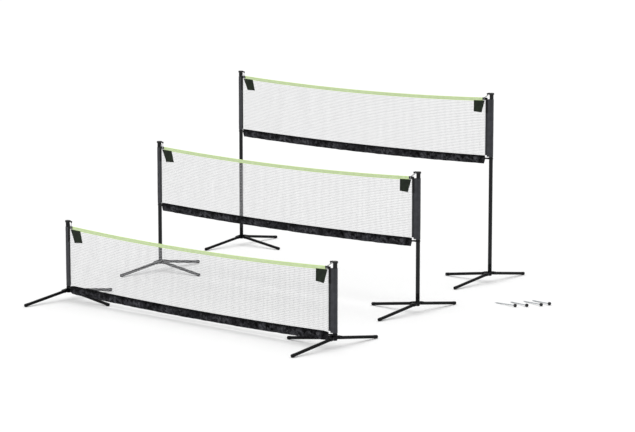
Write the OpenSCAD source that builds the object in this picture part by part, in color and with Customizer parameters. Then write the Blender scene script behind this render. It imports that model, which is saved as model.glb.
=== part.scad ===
// Portable net set: one net type at its three heights, each on two folding T-feet, and four ground pegs.
// Millimetres, +Z up, floor at z = 0, +X along the nets, +Y towards the tallest net.

/* [Layout] */
// Distance between two nets, front to back
row_step_y = 1400; // [1100:50:2500]
// Sideways step from one net to the one behind it
row_step_x = 400; // [0:10:1000]
// Sideways place of the middle net
middle_x = -80; // [-300:5:300]

/* [Poles] */
// Distance between the two pole axes of a net
pole_spacing = 2800; // [1500:50:6000]
// Outer diameter of the pole tubes
tube_d = 32; // [25:0.5:42]
// Wall of the pole tubes
tube_wall = 1.5; // [1:0.1:2.5]
// Visible length of one pole section
section_len = 461; // [350:1:650]
// Length of the reduced end that plugs into the next tube
spigot_len = 70; // [30:1:110]
// Radial slip fit between a reduced end and its tube
slip_gap = 0.05; // [0.02:0.01:0.1]
// Chamfer at each tube end
tube_chamfer = 0.8; // [0.2:0.1:1]

/* [Feet] */
// Height of the foot tube's lower end above the floor
foot_lift = 53; // [45:1:60]
// Height of the leg pivots above the floor
pivot_z = 69; // [64:1:90]
// Length of the foot tube above the pivots, up to its shoulder
stub_rise = 83; // [75:1:200]
// Reach of a leg tip from the pole axis
leg_reach = 458; // [300:1:700]
// Outer diameter of the leg tubes
leg_d = 24; // [18:0.5:30]
// Wall of the leg tubes
leg_wall = 1.5; // [1:0.1:2.5]
// Length of leg behind its pivot
leg_heel = 9; // [7:0.5:12]
// Clearance between the leg's heel and the pole as the leg folds
heel_gap = 5; // [2:0.5:12]
// Sheet thickness of the clevis cheeks and stop
cheek_t = 2; // [1.5:0.1:3]
// Clearance on each side of a leg in its clevis
cheek_gap = 0.5; // [0.3:0.1:1]
// Clearance between a leg and its stop
stop_gap = 0.3; // [0.2:0.05:0.5]
// Length of the clevis beyond the pivot
clevis_len = 28; // [22:1:50]
// Diameter of the pivot bolts
bolt_d = 6; // [4:0.5:8]
// Radial running clearance of the pivot bolts
bolt_gap = 0.05; // [0.02:0.01:0.1]
// Wall of the caps on the leg tips
foot_cap_wall = 1; // [0.8:0.1:2]
// Length of leg held by its tip cap
foot_cap_grip = 25; // [12:1:40]
// Clearance between a tip cap and its leg
foot_cap_gap = 0.05; // [0.02:0.01:0.2]
// Depth of the flat that a tip cap stands on
foot_flat = 1; // [0.5:0.1:2]

/* [Pole caps] */
// Height of a cap above its tube
cap_h = 15; // [10:0.5:25]
// Width of the cap's brim round the tube
cap_brim = 5; // [2:0.5:10]
// Rounding of the cap's upper edge
cap_round = 5; // [2:0.5:8]
// Length of the cap's plug inside the tube
cap_plug = 20; // [10:1:40]
// Reach of the cap's hook from the pole axis
hook_reach = 48; // [42:1:70]
// Width of the hook's neck
hook_w = 12; // [8:0.5:18]
// Height of the hook's neck
hook_h = 9; // [6:0.5:12]

/* [Fabric] */
// Thickness of the sleeve and strap fabric
fabric_t = 1.2; // [0.8:0.1:2]
// Clearance between the sleeve and the pole
sleeve_gap = 0.5; // [0.3:0.1:2]
// Distance from the tube's upper end down to the sleeve
sleeve_drop = 37; // [20:1:80]
// Width of the sleeve's hem beside the pole
hem_w = 30; // [20:1:60]
// Thickness of the net
net_t = 1.2; // [0.8:0.1:3]
// Twine width of the net
twine_w = 5; // [3:0.5:8]
// Number of gaps along the net
net_columns = 26; // [10:1:30]
// Number of gaps up the net
net_rows = 5; // [3:1:6]
// Height of the top tape
tape_h = 28; // [20:1:60]
// Thickness of the top tape
tape_t = 2.4; // [1.4:0.1:4]
// Drop of the tape's middle line below the tube's upper end, at the poles
tape_drop = 36; // [30:1:60]
// Sag of the top tape at mid span
tape_sag = 35; // [0:1:90]
// Distance from the pole axis to the end of the tape
tape_start = 72; // [64:1:100]
// Thickness of the bottom band
band_t = 3; // [2:0.1:5]
// Height of the bottom band
band_h = 67; // [50:1:80]
// Sag of the bottom band at mid span
band_sag = 22; // [0:1:30]
// Slant of the bottom band's ends, below the ties
band_slant = 10; // [0:1:30]

/* [Straps and flags] */
// Width of the ties that hold the band to the poles
tie_w = 18; // [10:1:25]
// Clearance between the lowest tie and its foot
tie_clear = 2; // [1:0.5:10]
// Window between tie and sleeve
tie_window = 14; // [4:1:30]
// Width of the black strap on the sleeve's corner
strap_w = 22; // [14:1:26]
// Length of the black strap on the sleeve's corner
strap_len = 115; // [60:1:200]
// Thickness of straps and flags
strap_t = 1.5; // [1:0.1:2.5]
// Width of a flag at its top
flag_top_w = 112; // [60:1:160]
// Width of a flag at its bottom
flag_bottom_w = 84; // [40:1:140]
// Height of a flag
flag_h = 96; // [50:1:150]
// Inward lean of the flags at the left-hand poles
flag_lean = 26; // [0:1:50]
// Bore of the eyelet that takes the top cord
eyelet_d = 8; // [6:0.5:12]
// Diameter of the top cords
cord_d = 3.2; // [2:0.1:4]

/* [Pegs] */
// Length of a peg with its head
peg_len = 240; // [150:5:300]
// Diameter of a peg's rod
peg_d = 9; // [6:0.5:12]
// Length of a peg's point
peg_point = 30; // [10:1:50]
// Diameter of a peg's head
peg_head_d = 26; // [18:1:36]
// Height of a peg's head
peg_head_h = 18; // [10:1:30]

/* [Hidden] */
$fn = 64;

// Names for the three nets and for the two sides
low = 0;
mid = 1;
high = 2;
left = -1;
right = 1;
// Directions that a leg can take
front = "front";
back = "back";
inner = "inner";

// Colours
frame_black = "#2e2e2e";
plastic_black = "#1c1c1e";
zinc = "#c8cacc";
bolt_black = "#3a3a3c";
sleeve_grey = "#46464a";
net_white = "#eeeeee";
tape_green = "#bfd0a8";
band_black = "#232326";
strap_black = "#141416";
flag_green = "#1e2a16";
eyelet_steel = "#8a8f88";

// Tubes
tube_r = tube_d / 2;
bore_r = tube_r - tube_wall;
spigot_r = bore_r - slip_gap;
stub_top = pivot_z + stub_rise;

// Legs and clevises: lengths run outwards along the leg from its pivot
leg_r = leg_d / 2;
heel_swing = norm([leg_heel, leg_r]);
pivot_r = tube_r + heel_gap + heel_swing;
foot_cap_r = leg_r + foot_cap_wall;
foot_cap_end = 4;
tip_z = foot_cap_r - foot_flat;
leg_tilt = atan((pivot_z - tip_z) / (leg_reach - foot_cap_end - pivot_r));
leg_len = (leg_reach - foot_cap_end - pivot_r) / cos(leg_tilt);
slot_w = leg_d + 2 * cheek_gap;
stop_start = leg_heel + 2;
stop_z = leg_r + stop_gap;
clevis_top = stop_z + cheek_t;
clevis_drop = leg_r - 2;
clevis_round = 8;
clevis_root = sqrt(max(0, pow(tube_r, 2) - pow(slot_w / 2, 2))) - 3 - pivot_r;
hub_top = pivot_z + (clevis_top + (pivot_r - tube_r) * sin(leg_tilt)) / cos(leg_tilt);
bolt_span = slot_w + 2 * cheek_t;
nut_h = 5;
bolt_head_h = 4;

// Heights in a net's upper section, from the section's lower end
sleeve_top = section_len - sleeve_drop;
tie_bottom = hub_top + tie_clear - stub_top;
tie_top = tie_bottom + tie_w;
sleeve_bottom = tie_top + tie_window;
band_top = sleeve_bottom - 1;
band_corner = max(tie_bottom - 1, band_top - band_h + 2);
tape_z = section_len - tape_drop;

// Fabric outlines beside a pole: X runs from the pole axis along the net
sleeve_in_r = tube_r + sleeve_gap;
sleeve_out_r = sleeve_in_r + fabric_t;
fabric_y = -max(sleeve_out_r, bolt_span / 2 + 1 + band_t / 2) - fabric_t;
hem_x = tube_r + hem_w;
hem_flange = 3;
tape_front_y = fabric_y - tape_t / 2;
half_span = pole_spacing / 2;
span_step = 110;
net_margin = 6;

// The cap's hook: its neck lies between the brim and a round end with a nub below it
cap_r = tube_r + cap_brim;
hook_end_r = hook_w * 0.7;
hook_end_x = hook_reach - hook_end_r;
hook_z = 2;
nub_r = 4;
nub_h = 6;

// The strap's upper edge below the tape's, and the eyelet's centre in the strap
strap_drop = 2.5;
eyelet_x = tape_start - 11;
strap_y = tape_front_y - strap_t / 2;
eyelet_lip = 3;
eyelet_wall = 1;
eyelet_t = 0.8;

// Pegs on the floor: head's place and the direction from head to point
PEGS = [[1735, 680, 172], [1798, 745, 162], [1862, 845, 165], [1889, 915, 164]];

function net_x(i) = middle_x - (i - mid) * row_step_x;
function net_y(i) = (i - mid) * row_step_y;
function section_z(i) = stub_top + i * section_len;
function leg_angle(side, way) = way == front ? -90 : way == back ? 90 : side == left ? 0 : 180;

// Sagging lines: x runs from -half_span to half_span, and heights are from the section's lower end
function dip(x) = 1 - pow(x / half_span, 2);
function tape_mid(x) = tape_z - tape_sag * dip(x);
function tape_low(x) = tape_mid(x) - tape_h / 2;
function band_high(x) = band_top - band_sag * dip(x);
function band_low(x) = band_high(x) - band_h;
// Points along a sagging edge from one end to the other, the same for every piece but at its ends
function span(end) =
    let (n = floor((end - 10) / span_step))
    concat([-end], [for (k = [-n:n]) k * span_step], [end]);
// Points along the net and the band's upper edge, with the tape's ends among them
function net_span() = concat([hem_x - half_span], span(half_span - tape_start), [half_span - hem_x]);
function reversed(list) = [for (k = [len(list) - 1:-1:0]) list[k]];

// Outline of fabric round a pole: an arc on the outer side and straight runs to a tip at the hem
function wrap(r, tip) =
    let (base = atan2(tip[1], tip[0]), spread = acos(r / norm(tip)))
    let (first = base + spread, last = base - spread + 360)
    concat([tip], [for (k = [0:24]) let (a = first + (last - first) * k / 24) r * [cos(a), sin(a)]]);

module at_net(i) {
    translate([net_x(i), net_y(i), section_z(i)]) children();
}

// Repeats a shape at both poles of a net, mirrored so that X always runs from the pole along the net
module at_poles() {
    translate([-half_span, 0, 0]) children();
    translate([half_span, 0, 0]) mirror([1, 0, 0]) children();
}

module at_feet() {
    for (i = [low:high])
        translate([net_x(i), net_y(i), 0]) at_poles() children();
}

module at_pivots() {
    for (a = [-90, 0, 90])
        rotate([0, 0, a]) translate([pivot_r, 0, pivot_z]) rotate([0, leg_tilt, 0]) children();
}

// Stands a flat outline up, facing the front, with its middle plane at y
module upright(y, t) {
    translate([0, y + t / 2, 0]) rotate([90, 0, 0]) linear_extrude(t) children();
}

// Tube with a reduced end above z1 that plugs into the next tube
module plug_tube(z0, z1) {
    c = tube_chamfer;
    rotate_extrude() polygon([
        [bore_r, z0], [tube_r - c, z0], [tube_r, z0 + c], [tube_r, z1 - c], [tube_r - c, z1],
        [spigot_r, z1], [spigot_r, z1 + spigot_len - 2], [spigot_r - 0.7, z1 + spigot_len],
        [spigot_r - tube_wall, z1 + spigot_len], [spigot_r - tube_wall, z1 - 20], [bore_r, z1 - 22]
    ]);
}

module pole_tube() {
    c = tube_chamfer;
    rotate_extrude() polygon([
        [bore_r, 0], [tube_r - c, 0], [tube_r, c], [tube_r, section_len], [bore_r, section_len]
    ]);
}

// Two cheeks and the stop over the leg, in the leg's own tilted frame
module clevis() {
    r = clevis_round;
    for (y = [-bolt_span / 2 + cheek_t / 2, bolt_span / 2 - cheek_t / 2])
        upright(y, cheek_t) polygon(concat(
            [[clevis_root, clevis_top], [clevis_root, -clevis_drop]],
            [for (a = [0:15:90]) [clevis_len - r + r * sin(a), r - clevis_drop - r * cos(a)]],
            [[clevis_len, clevis_top]]
        ));
    translate([stop_start, -bolt_span / 2, stop_z])
        cube([clevis_len - stop_start, bolt_span, cheek_t]);
}

module cross_bore(d, len) {
    rotate([90, 0, 0]) cylinder(d = d, h = len, center = true);
}

module foot_hub() {
    difference() {
        union() {
            plug_tube(foot_lift + 4, stub_top);
            at_pivots() clevis();
        }
        translate([0, 0, foot_lift - 10]) cylinder(r = bore_r, h = stub_top - foot_lift - 20);
        at_pivots() cross_bore(bolt_d + 2 * bolt_gap, bolt_span + 10);
    }
}

module foot_hubs() {
    color(frame_black) at_feet() foot_hub();
}

module foot_plugs() {
    color(plastic_black) at_feet() translate([0, 0, foot_lift]) {
        rotate_extrude() polygon(concat(
            [[0, 0]],
            [for (a = [0:15:90]) [tube_r - 3 + 3 * sin(a), 3 - 3 * cos(a)]],
            [[tube_r, 4], [spigot_r, 4], [spigot_r, 22], [spigot_r - 2, 24], [0, 24]]
        ));
    }
}

module pivot_bolts() {
    color(bolt_black) at_feet() at_pivots() rotate([90, 0, 0]) {
        translate([0, 0, -bolt_span / 2 - nut_h - 2]) cylinder(d = bolt_d, h = bolt_span + nut_h + 2);
        translate([0, 0, bolt_span / 2]) rotate_extrude() polygon(concat(
            [[0, 0], [bolt_d * 0.9, 0]],
            [for (a = [0:15:90]) [bolt_d * 0.9 * cos(a), 1 + (bolt_head_h - 1) * sin(a)]]
        ));
    }
}

module pivot_nuts() {
    color(bolt_black) at_feet() at_pivots() rotate([90, 0, 0])
        translate([0, 0, -bolt_span / 2 - nut_h]) difference() {
            cylinder(d = bolt_d * 1.9, h = nut_h, $fn = 6);
            translate([0, 0, -1]) cylinder(r = bolt_d / 2 + bolt_gap, h = nut_h + 2);
        }
}

// Leg tube along X from its pivot, and the plastic cap on its tip
module leg_tube() {
    difference() {
        translate([-leg_heel, 0, 0]) rotate([0, 90, 0]) difference() {
            cylinder(r = leg_r, h = leg_heel + leg_len);
            translate([0, 0, -1]) cylinder(r = leg_r - leg_wall, h = leg_heel + leg_len + 2);
        }
        cross_bore(bolt_d + 2 * bolt_gap, leg_d + 10);
    }
}

module leg_tip_cap() {
    r = foot_cap_r;
    seat = leg_r + foot_cap_gap;
    rim = -foot_cap_grip;
    translate([leg_len, 0, 0]) rotate([0, 90, 0]) rotate_extrude() polygon(concat(
        [[0, foot_cap_gap], [seat, foot_cap_gap], [seat, rim], [r - 0.4, rim], [r, rim + 0.4]],
        [for (a = [0:15:90]) [r - foot_cap_end * (1 - cos(a)), foot_cap_end * sin(a)]],
        [[0, foot_cap_end]]
    ));
}

module leg(i, side, way) {
    color(frame_black)
        translate([net_x(i) + side * half_span, net_y(i), 0])
            rotate([0, 0, leg_angle(side, way)]) {
                translate([pivot_r, 0, pivot_z]) rotate([0, leg_tilt, 0]) leg_tube();
                intersection() {
                    translate([pivot_r, 0, pivot_z]) rotate([0, leg_tilt, 0]) leg_tip_cap();
                    translate([0, -leg_d, 0]) cube([leg_reach + 20, 2 * leg_d, 2 * leg_d]);
                }
            }
}

module extension_tubes(i, section) {
    color(frame_black) translate([net_x(i), net_y(i), section_z(section)])
        at_poles() plug_tube(0, section_len);
}

module poles(i) {
    color(frame_black) at_net(i) at_poles() pole_tube();
}

module pole_cap() {
    translate([0, 0, section_len]) {
        rotate_extrude() polygon(concat(
            [[0, -cap_plug], [spigot_r - 1, -cap_plug], [spigot_r, 1 - cap_plug], [spigot_r, 0], [cap_r, 0]],
            [for (a = [0:15:90]) [cap_r - cap_round * (1 - cos(a)), cap_h - cap_round * (1 - sin(a))]],
            [[0, cap_h]]
        ));
        translate([0, 0, hook_z]) linear_extrude(hook_h) {
            translate([cap_r - 8, -hook_w / 2]) square([hook_end_x - cap_r + 8, hook_w]);
            translate([hook_end_x, 0]) circle(r = hook_end_r);
        }
        translate([hook_reach - nub_r - 1, 0, hook_z - nub_h]) cylinder(r = nub_r, h = nub_h + 1);
    }
}

module pole_caps(i) {
    color(plastic_black) at_net(i) at_poles() pole_cap();
}

module sleeve() {
    translate([0, 0, sleeve_bottom]) linear_extrude(sleeve_top - sleeve_bottom) {
        difference() {
            polygon(wrap(sleeve_out_r, [hem_x - 1, fabric_y]));
            polygon(wrap(sleeve_in_r, [hem_x - 5, fabric_y + fabric_t / 2]));
        }
        translate([hem_x - hem_flange - 2, fabric_y - fabric_t])
            square([hem_flange + 2, 2 * fabric_t]);
    }
}

module sleeves(i) {
    color(sleeve_grey) at_net(i) at_poles() sleeve();
}

// Net between tape and band: gaps in rows that follow both sagging edges
module net_outline() {
    xs = net_span();
    polygon(concat([for (x = xs) [x, tape_low(x)]], [for (x = reversed(xs)) [x, band_high(x)]]));
}

module net_gap(c, r) {
    reach = half_span - hem_x - net_margin;
    pitch = 2 * reach / net_columns;
    x0 = -reach + c * pitch + twine_w / 2;
    x1 = x0 + pitch - twine_w;
    function level(x, part) =
        band_high(x) + net_margin + (tape_low(x) - band_high(x) - 2 * net_margin) * part;
    low_part = r / net_rows;
    high_part = (r + 1) / net_rows;
    polygon([
        [x0, level(x0, low_part) + twine_w / 2], [x1, level(x1, low_part) + twine_w / 2],
        [x1, level(x1, high_part) - twine_w / 2], [x0, level(x0, high_part) - twine_w / 2]
    ]);
}

module net(i) {
    color(net_white) at_net(i) upright(fabric_y, net_t) difference() {
        net_outline();
        for (c = [0:net_columns - 1])
            for (r = [0:net_rows - 1])
                net_gap(c, r);
    }
}

module top_tape(i) {
    xs = span(half_span - tape_start);
    color(tape_green) at_net(i) upright(fabric_y, tape_t) polygon(concat(
        [for (x = xs) [x, tape_mid(x) + tape_h / 2]],
        [for (x = reversed(xs)) [x, tape_low(x)]]
    ));
}

// The band's ends are upright where the ties meet them, and below that the lower corner is cut back
module bottom_band(i) {
    end = half_span - hem_x;
    color(band_black) at_net(i) upright(fabric_y, band_t) polygon(concat(
        [[-end, band_corner]],
        [for (x = net_span()) [x, band_high(x)]],
        [[end, band_corner]],
        [for (x = reversed(span(end - band_slant))) [x, band_low(x)]]
    ));
}

// Flag below the tape's end: its outer edge slants away from the pole
module corner_flag(lean) {
    outer = hem_x + 8;
    slant = flag_top_w - flag_bottom_w;
    function under_tape(x) = tape_low(x - half_span) - 0.3;
    upright(tape_front_y + strap_t / 2 - 1, strap_t) polygon([
        [outer, under_tape(outer)], [outer + flag_top_w, under_tape(outer + flag_top_w)],
        [outer + flag_top_w + lean, tape_low(half_span) - flag_h],
        [outer + slant + lean, tape_low(half_span) - flag_h]
    ]);
}

module corner_flags(i) {
    color(flag_green) at_net(i) {
        translate([-half_span, 0, 0]) corner_flag(flag_lean);
        translate([half_span, 0, 0]) mirror([1, 0, 0]) corner_flag(0);
    }
}

// Black strap: down the sleeve's corner, and a tongue with the eyelet that ends on the tape
module corner_strap() {
    top = tape_z + tape_h / 2 - strap_drop;
    low = tape_z - 9;
    upright(strap_y, strap_t) difference() {
        union() {
            translate([hem_x - strap_w, sleeve_top - strap_len]) square([strap_w, strap_len]);
            translate([hem_x - strap_w, low]) square([tape_start + 4 - hem_x + strap_w, top - low]);
        }
        translate([eyelet_x, tape_z + 4]) circle(d = eyelet_d + 2 * eyelet_wall);
    }
}

module corner_straps(i) {
    color(strap_black) at_net(i) at_poles() corner_strap();
}

module tape_eyelet() {
    r = eyelet_d / 2;
    half = strap_t / 2 + eyelet_t;
    translate([eyelet_x, strap_y, tape_z + 4]) rotate([90, 0, 0]) rotate_extrude() polygon([
        [r, -half], [r + eyelet_lip, -half], [r + eyelet_lip, -strap_t / 2], [r + eyelet_wall, -strap_t / 2],
        [r + eyelet_wall, strap_t / 2], [r + eyelet_lip, strap_t / 2], [r + eyelet_lip, half], [r, half]
    ]);
}

module tape_eyelets(i) {
    color(eyelet_steel) at_net(i) at_poles() tape_eyelet();
}

// Closed loop of cord over the hook's neck and through the eyelet
cord_r = cord_d / 2;
neck_x = (cap_r + hook_end_x - hook_end_r) / 2 + 1;
neck_top = section_len + hook_z + hook_h;
neck_side = hook_w / 2 + cord_r + 0.3;
loop_low = [eyelet_x, strap_y, tape_z + 4];
loop_cross = [eyelet_x - 10, strap_y - 1, tape_z + tape_h / 2 - strap_drop + cord_r + 2.5];
LOOP = [
    [neck_x, -neck_side + 2, neck_top + cord_r + 0.3], [neck_x, neck_side - 2, neck_top + cord_r + 0.3],
    [neck_x + 1, neck_side + 1, neck_top - 3], [neck_x + 3, neck_side + 1, neck_top - hook_h - 2],
    loop_low + [-3, 7, 4], loop_low + [0, 3, 0], loop_low - [0, 3, 0], loop_low + [-3, -7, 5], loop_cross,
    [neck_x + 3, -neck_side - 1, neck_top - hook_h - 2], [neck_x + 1, -neck_side - 1, neck_top - 3]
];
loop_rings = 22;
cord_sides = 8;

function loop_point(t) =
    let (n = len(LOOP), k = floor(t), f = t - k)
    let (a = LOOP[(k + n - 1) % n], b = LOOP[k % n], c = LOOP[(k + 1) % n], d = LOOP[(k + 2) % n])
    b + f / 2 * ((c - a) + f * ((2 * a - 5 * b + 4 * c - d) + f * (3 * b - a - 3 * c + d)));
function unit(v) = v / norm(v);
function loop_ring(t) =
    let (ahead = unit(loop_point(t + 0.01) - loop_point(t + len(LOOP) - 0.01)))
    let (out = unit(cross(ahead, [1, 0, 0.7])), over = cross(ahead, out))
    [for (s = [0:cord_sides - 1]) let (a = 360 * s / cord_sides)
        loop_point(t) + cord_r * (cos(a) * out + sin(a) * over)];

module cord_loop() {
    rings = [for (k = [0:loop_rings - 1]) loop_ring(k * len(LOOP) / loop_rings)];
    points = [for (ring = rings) each ring];
    function at(k, s) = (k % loop_rings) * cord_sides + s % cord_sides;
    polyhedron(points, [
        for (k = [0:loop_rings - 1])
            for (s = [0:cord_sides - 1])
                each [[at(k, s), at(k, s + 1), at(k + 1, s)], [at(k, s + 1), at(k + 1, s + 1), at(k + 1, s)]]
    ]);
}

module top_cords(i) {
    color(strap_black) at_net(i) at_poles() cord_loop();
}

// Strap looped round the tube below the sleeve, with its ends sewn together up to the band
module bottom_tie() {
    translate([0, 0, tie_bottom]) linear_extrude(tie_w) {
        difference() {
            polygon(wrap(sleeve_out_r, [hem_x - 8, fabric_y]));
            polygon(wrap(sleeve_in_r, [hem_x - 12, fabric_y + fabric_t / 2]));
        }
        translate([hem_x - 12, fabric_y - fabric_t]) square([12, 2 * fabric_t]);
    }
}

module bottom_ties(i) {
    color(strap_black) at_net(i) at_poles() bottom_tie();
}

// Pegs lie with the head's rim and the start of the point on the floor
head_r = peg_head_d / 2;
head_round = 5;
shaft = peg_len - peg_head_h / 2 - peg_point;
peg_lie = asin((head_r - peg_d / 2) / shaft);
peg_z = (head_r - head_round) * cos(peg_lie) + (peg_head_h / 2 - head_round) * sin(peg_lie) + head_round;

module at_pegs() {
    for (p = PEGS)
        translate([p[0], p[1], peg_z]) rotate([0, 0, p[2]]) rotate([0, 90 + peg_lie, 0])
            children();
}

module peg_rods() {
    color(zinc) at_pegs() {
        cylinder(d = peg_d, h = shaft);
        translate([0, 0, shaft]) cylinder(d1 = peg_d, d2 = 1, h = peg_point - 2);
    }
}

module peg_heads() {
    h = peg_head_h / 2;
    color(plastic_black) at_pegs() difference() {
        rotate_extrude() polygon(concat(
            [[0, -h], [head_r - head_round, -h]],
            [for (a = [-75:15:75])
                [head_r - head_round * (1 - cos(a)), (h - head_round) * sign(a) + head_round * sin(a)]],
            [[head_r - head_round, h], [0, h]]
        ));
        cylinder(d = peg_d, h = h + 1);
    }
}

foot_hubs();
foot_plugs();
pivot_bolts();
pivot_nuts();
leg(low, left, front);  // low_left_front_leg
leg(low, left, back);  // low_left_back_leg
leg(low, left, inner);  // low_left_inner_leg
leg(low, right, front);  // low_right_front_leg
leg(low, right, back);  // low_right_back_leg
leg(low, right, inner);  // low_right_inner_leg
leg(mid, left, front);  // mid_left_front_leg
leg(mid, left, back);  // mid_left_back_leg
leg(mid, left, inner);  // mid_left_inner_leg
leg(mid, right, front);  // mid_right_front_leg
leg(mid, right, back);  // mid_right_back_leg
leg(mid, right, inner);  // mid_right_inner_leg
leg(high, left, front);  // high_left_front_leg
leg(high, left, back);  // high_left_back_leg
leg(high, left, inner);  // high_left_inner_leg
leg(high, right, front);  // high_right_front_leg
leg(high, right, back);  // high_right_back_leg
leg(high, right, inner);  // high_right_inner_leg
extension_tubes(mid, 0);  // mid_extension_tubes
extension_tubes(high, 0);  // high_lower_extension_tubes
extension_tubes(high, 1);  // high_upper_extension_tubes
poles(low);  // low_poles
pole_caps(low);  // low_pole_caps
sleeves(low);  // low_sleeves
net(low);  // low_net
top_tape(low);  // low_top_tape
bottom_band(low);  // low_bottom_band
corner_flags(low);  // low_corner_flags
corner_straps(low);  // low_corner_straps
tape_eyelets(low);  // low_tape_eyelets
top_cords(low);  // low_top_cords
bottom_ties(low);  // low_bottom_ties
poles(mid);  // mid_poles
pole_caps(mid);  // mid_pole_caps
sleeves(mid);  // mid_sleeves
net(mid);  // mid_net
top_tape(mid);  // mid_top_tape
bottom_band(mid);  // mid_bottom_band
corner_flags(mid);  // mid_corner_flags
corner_straps(mid);  // mid_corner_straps
tape_eyelets(mid);  // mid_tape_eyelets
top_cords(mid);  // mid_top_cords
bottom_ties(mid);  // mid_bottom_ties
poles(high);  // high_poles
pole_caps(high);  // high_pole_caps
sleeves(high);  // high_sleeves
net(high);  // high_net
top_tape(high);  // high_top_tape
bottom_band(high);  // high_bottom_band
corner_flags(high);  // high_corner_flags
corner_straps(high);  // high_corner_straps
tape_eyelets(high);  // high_tape_eyelets
top_cords(high);  // high_top_cords
bottom_ties(high);  // high_bottom_ties
peg_rods();
peg_heads();
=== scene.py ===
# Portable net set: one net at three heights on folding feet, and four ground pegs.
import math

import bmesh
import bpy
import numpy as np
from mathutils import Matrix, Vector, noise


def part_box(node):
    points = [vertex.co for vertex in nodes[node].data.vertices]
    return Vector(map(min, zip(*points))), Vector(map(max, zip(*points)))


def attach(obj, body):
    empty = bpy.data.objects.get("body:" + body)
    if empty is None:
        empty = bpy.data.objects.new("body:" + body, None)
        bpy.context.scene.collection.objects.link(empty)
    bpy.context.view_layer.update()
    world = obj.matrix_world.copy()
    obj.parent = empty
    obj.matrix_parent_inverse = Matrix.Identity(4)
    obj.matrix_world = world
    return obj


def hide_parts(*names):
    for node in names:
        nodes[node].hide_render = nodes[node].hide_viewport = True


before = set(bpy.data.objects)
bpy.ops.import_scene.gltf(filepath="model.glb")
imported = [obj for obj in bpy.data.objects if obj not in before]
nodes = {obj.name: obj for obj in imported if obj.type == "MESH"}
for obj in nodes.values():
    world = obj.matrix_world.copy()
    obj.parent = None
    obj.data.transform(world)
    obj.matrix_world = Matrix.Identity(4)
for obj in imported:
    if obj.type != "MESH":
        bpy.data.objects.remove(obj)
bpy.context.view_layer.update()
scene = bpy.context.scene
print("frame loaded:", len(nodes), "nodes")


def colour(code):  # "#RRGGBB" in sRGB to linear RGBA
    parts = [int(code[i:i + 2], 16) / 255 for i in (1, 3, 5)]
    return tuple(p / 12.92 if p <= 0.04045 else ((p + 0.055) / 1.055) ** 2.4 for p in parts) + (1.0,)


def addNode(tree, kind, links=None, stops=None, **settings):
    node = tree.nodes.new(kind)
    for name, value in settings.items():
        setattr(node, name, value)
    for socket, value in (links or {}).items():
        if isinstance(value, bpy.types.Node):  # a node stands for its first output
            value = value.outputs[0]
        if isinstance(value, bpy.types.NodeSocket):
            tree.links.new(value, node.inputs[socket])
        else:
            node.inputs[socket].default_value = value
    if stops:  # the two places on a colour ramp, each with its colour
        for stop, (place, code) in zip(node.color_ramp.elements, stops.items()):
            stop.position, stop.color = place, colour(code)
    return node


def addPiece(name, points, faces, uvs=None, edges=(), smooth=True):
    mesh = bpy.data.meshes.new(name)
    mesh.from_pydata([tuple(p) for p in points], edges, faces)
    if uvs is not None:  # one pair for each face corner, in metres along the cloth
        layer = mesh.uv_layers.new(name="cloth")
        layer.data.foreach_set("uv", np.asarray(uvs, np.float32).ravel())
    mesh.polygons.foreach_set("use_smooth", [smooth] * len(mesh.polygons))
    mesh.update()
    piece = bpy.data.objects.new(name, mesh)
    scene.collection.objects.link(piece)
    return piece


def useMaterial(piece, material):
    piece.data.materials.clear()
    piece.data.materials.append(material)


def applyModifiers(piece):
    shape = piece.evaluated_get(bpy.context.evaluated_depsgraph_get())
    mesh = bpy.data.meshes.new_from_object(shape)
    piece.modifiers.clear()
    piece.data = mesh


def mergeDoubles(piece):
    work = bmesh.new()
    work.from_mesh(piece.data)
    bmesh.ops.remove_doubles(work, verts=work.verts, dist=1e-6)
    work.to_mesh(piece.data)
    work.free()


def joinPieces(name, pieces):
    with bpy.context.temp_override(active_object=pieces[0], selected_editable_objects=pieces):
        bpy.ops.object.join()
    pieces[0].name = name
    return pieces[0]


# Rows of points joined into a skin. ring closes each row on itself, ends caps the first and last
def skin(name, rows, us, vs, ring=True, ends=False):
    count = len(rows[0])
    faces, uvs = [], []
    for i in range(len(rows) - 1):
        for j in range(count if ring else count - 1):
            k = (j + 1) % count
            faces.append((i * count + j, (i + 1) * count + j, (i + 1) * count + k, i * count + k))
            uvs += [(us[i], vs[j]), (us[i + 1], vs[j]), (us[i + 1], vs[j + 1]), (us[i], vs[j + 1])]
    if ends:
        last = (len(rows) - 1) * count
        for start, u, order in ((0, us[0], range(count)), (last, us[-1], range(count - 1, -1, -1))):
            faces.append(tuple(start + j for j in order))
            uvs += [(u, vs[j]) for j in order]
    return addPiece(name, [p for row in rows for p in row], faces, uvs)


def pathLengths(points):  # running length along a list of points
    total, found = 0.0, [0.0]
    for a, b in zip(points, points[1:]):
        total += (Vector(b) - Vector(a)).length
        found.append(total)
    return found


# Camera, light and floor
shot = {
    "place": (13.307, -14.456, 3.656),
    "turn": 42.0,  # degrees to the left of +Y
    "tilt": 8.81,  # degrees below the horizon
    "lens": 141.7,  # mm
    "sensor": 36,  # mm wide
    "far": 400,  # nothing beyond this is drawn
}
light = {
    "sky": 0.54,  # even light from all round
    "lamp": 1.85,  # overhead softbox, as a wide sun
    "lampPlace": (0, 0, 6),
    "lampAngle": 95.0,  # degrees across, so that each leg's shadow is a broad smudge
    "lampTilt": (-9.0, -9.0),
    "floor": "#F2F2F2",
    "floorLift": 0.06,  # brings the floor to white without more light on the nets
    "floorHalf": 150,
    "floorLevel": -0.0003,  # just under the feet
}

camera = bpy.data.objects.new("camera", bpy.data.cameras.new("camera"))
camera.location = shot["place"]
camera.rotation_euler = (math.radians(90 - shot["tilt"]), 0, math.radians(shot["turn"]))
camera.data.lens = shot["lens"]
camera.data.sensor_width = shot["sensor"]
camera.data.clip_end = shot["far"]
scene.collection.objects.link(camera)
scene.camera = camera

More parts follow.
